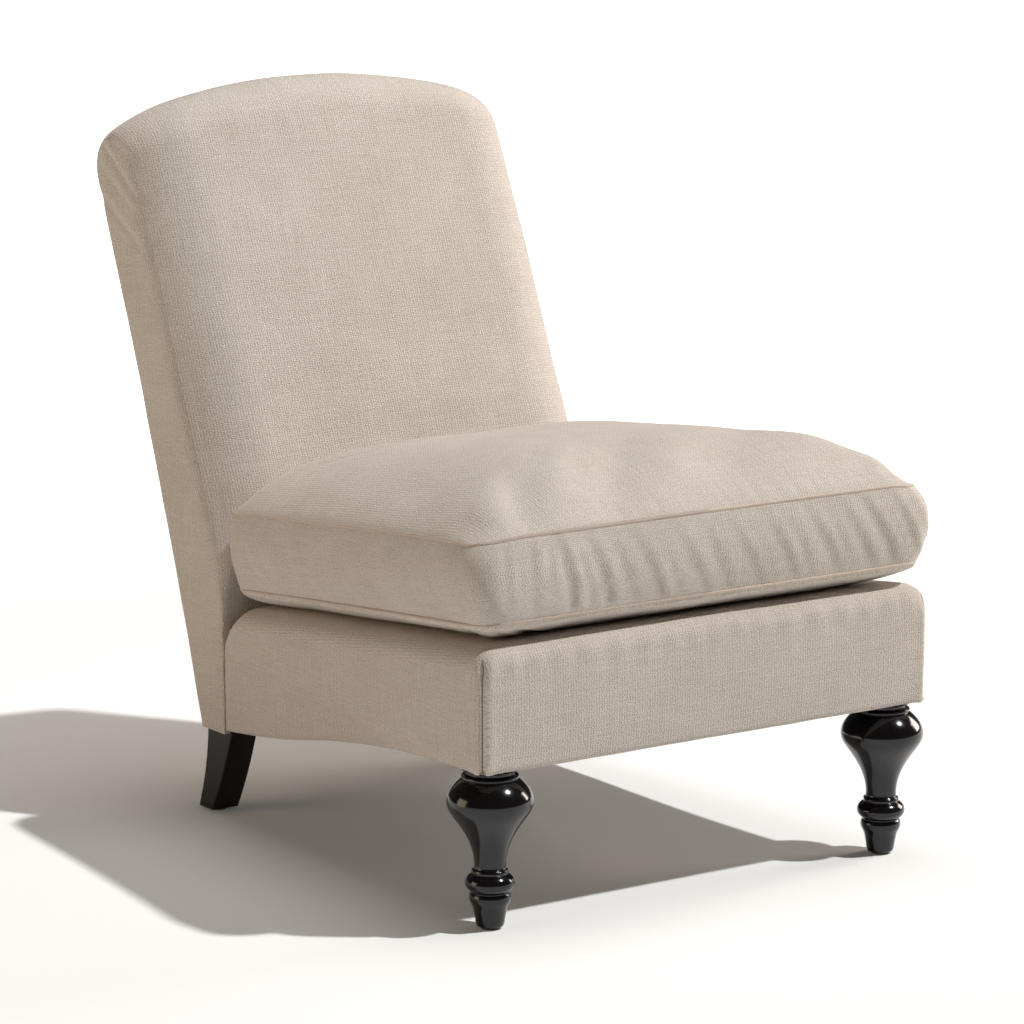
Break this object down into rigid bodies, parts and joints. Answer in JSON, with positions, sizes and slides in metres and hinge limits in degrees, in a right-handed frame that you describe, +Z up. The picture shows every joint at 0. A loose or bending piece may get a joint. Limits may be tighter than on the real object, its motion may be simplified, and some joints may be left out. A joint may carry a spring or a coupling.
{
  "type": "slipper chair",
  "caption": "Armless upholstered slipper chair with a raked rolled back, a loose boxed seat cushion, turned front legs and swept back legs.",
  "frame": {"origin": "centre of the bounding box in plan, at floor level under the glides", "axes": "+Z up, +Y from the seat's front to the back, +X across to the right as seen from the front"},
  "size_m": [0.6368, 0.8913, 0.84],
  "materials": {
    "linen": "woven linen in oatmeal",
    "dust_cloth": "thin black cloth",
    "webbing": "woven jute webbing",
    "foam": "upholstery foam",
    "wadding": "fibre wadding",
    "frame_wood": "bare hardwood",
    "ebonised_wood": "ebonised, polished lacquer",
    "steel": "plain steel",
    "brass": "dull brass",
    "plastic": "matte nylon"
  },
  "bodies": {
    "chair": {"deck_cover": "linen", "front_apron_cover": "linen", "side_apron_cover_left": "linen", "side_apron_cover_right": "linen", "inside_back_cover": "linen", "outside_back_cover": "linen", "dust_cover": "dust_cloth", "seat_webbing_long": "webbing", "seat_webbing_cross": "webbing", "back_webbing_level": "webbing", "back_webbing_upright": "webbing", "deck_foam": "foam", "back_foam": "foam", "apron_wadding": "wadding", "back_side_wadding": "wadding", "back_rear_wadding": "wadding", "crest_rail": "frame_wood", "lower_back_rail": "frame_wood", "rear_seat_rail": "frame_wood", "front_seat_rail": "frame_wood", "side_seat_rail_right": "frame_wood", "side_seat_rail_left": "frame_wood", "leg_blocks": "frame_wood", "rear_corner_blocks": "frame_wood", "back_post_right": "ebonised_wood", "back_post_left": "ebonised_wood", "front_legs": "ebonised_wood", "leg_bolts": "steel", "leg_inserts": "brass", "foot_glides": "plastic"},
    "seat_cushion": {"cushion_foam": "foam", "cushion_feather_wrap": "wadding", "cushion_bottom_panel": "linen", "cushion_boxing": "linen", "cushion_top_panel": "linen", "zip_chain": "plastic", "zip_stops": "plastic"},
    "zip_slider": {"zip_slider": "brass"},
    "zip_pull": {"zip_pull": "brass"}
  },
  "joints": [
    {"name": "cushion_lift", "type": "slide", "parent": "chair", "child": "seat_cushion", "axis": [0, 0, 1], "range_m": [0, 0.6]},
    {"name": "zip_slide", "type": "slide", "parent": "seat_cushion", "child": "zip_slider", "axis": [1, 0, 0], "range_m": [-0.392, 0]},
    {"name": "pull_swing", "type": "hinge", "parent": "zip_slider", "child": "zip_pull", "pos_m": [0.19615, 0.13677, 0.32009], "axis": [1, 0, 0], "range_deg": [0, 150]}
  ]
}
